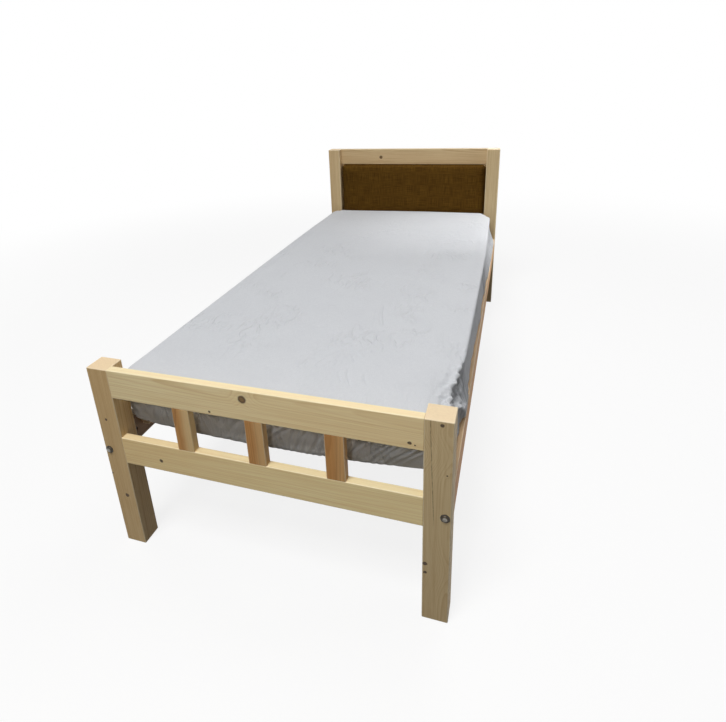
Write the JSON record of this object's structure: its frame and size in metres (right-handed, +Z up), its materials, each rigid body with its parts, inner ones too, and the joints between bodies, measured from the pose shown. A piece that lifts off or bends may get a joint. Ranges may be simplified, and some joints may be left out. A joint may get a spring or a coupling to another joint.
{
  "type": "single_bed",
  "caption": "Single bed in planed pine: low slatted footboard, headboard with a brown padded panel, slatted base and a foam mattress in a grey fitted sheet.",
  "frame": {"origin": "on the floor, in the middle of the bed's outline", "axes": "+Z up, +Y from the foot to the head, +X to the right seen from the foot"},
  "size_m": [0.94, 2.0504, 0.863],
  "materials": {
    "pine": "satin",
    "pine_heartwood": "satin",
    "beech": "matte",
    "plywood": "matte",
    "bolt_steel": "satin",
    "screw_steel": "satin",
    "foam": "matte",
    "brown_fabric": "matte",
    "ticking": "matte",
    "grey_sheet": "matte",
    "elastic": "matte"
  },
  "bodies": {
    "frame": {"barrel_nuts": "bolt_steel", "batten_screws": "screw_steel", "bed_slat_01": "pine", "bed_slat_02": "pine", "bed_slat_03": "pine", "bed_slat_04": "pine", "bed_slat_05": "pine", "bed_slat_06": "pine", "bed_slat_07": "pine", "bed_slat_08": "pine", "bed_slat_09": "pine", "bed_slat_10": "pine", "bed_slat_11": "pine", "bed_slat_12": "pine", "bed_slat_13": "pine", "bolt_washers": "bolt_steel", "foot_lower_rail": "pine", "foot_post_left": "pine", "foot_post_right": "pine", "foot_top_rail": "pine", "foot_upright_left": "pine_heartwood", "foot_upright_middle": "pine_heartwood", "foot_upright_right": "pine_heartwood", "frame_bolts": "bolt_steel", "head_lower_rail": "pine", "head_panel_batten_left": "pine", "head_panel_batten_right": "pine", "head_panel_board": "plywood", "head_panel_cover": "brown_fabric", "head_panel_foam": "foam", "head_post_left": "pine", "head_post_right": "pine", "head_top_rail": "pine", "ledger_screws": "screw_steel", "panel_screws": "screw_steel", "rail_dowels": "beech", "side_rail_left": "pine", "side_rail_right": "pine", "slat_ledger_left": "pine", "slat_ledger_right": "pine", "slat_screws": "screw_steel"},
    "mattress": {"mattress_foam": "foam", "mattress_ticking": "ticking", "fitted_sheet": "grey_sheet", "sheet_hem_elastic": "elastic"}
  },
  "joints": [
    {"name": "mattress_lift", "type": "slide", "parent": "frame", "child": "mattress", "axis": [0, 0, 1], "range_m": [0, 0.3]}
  ]
}
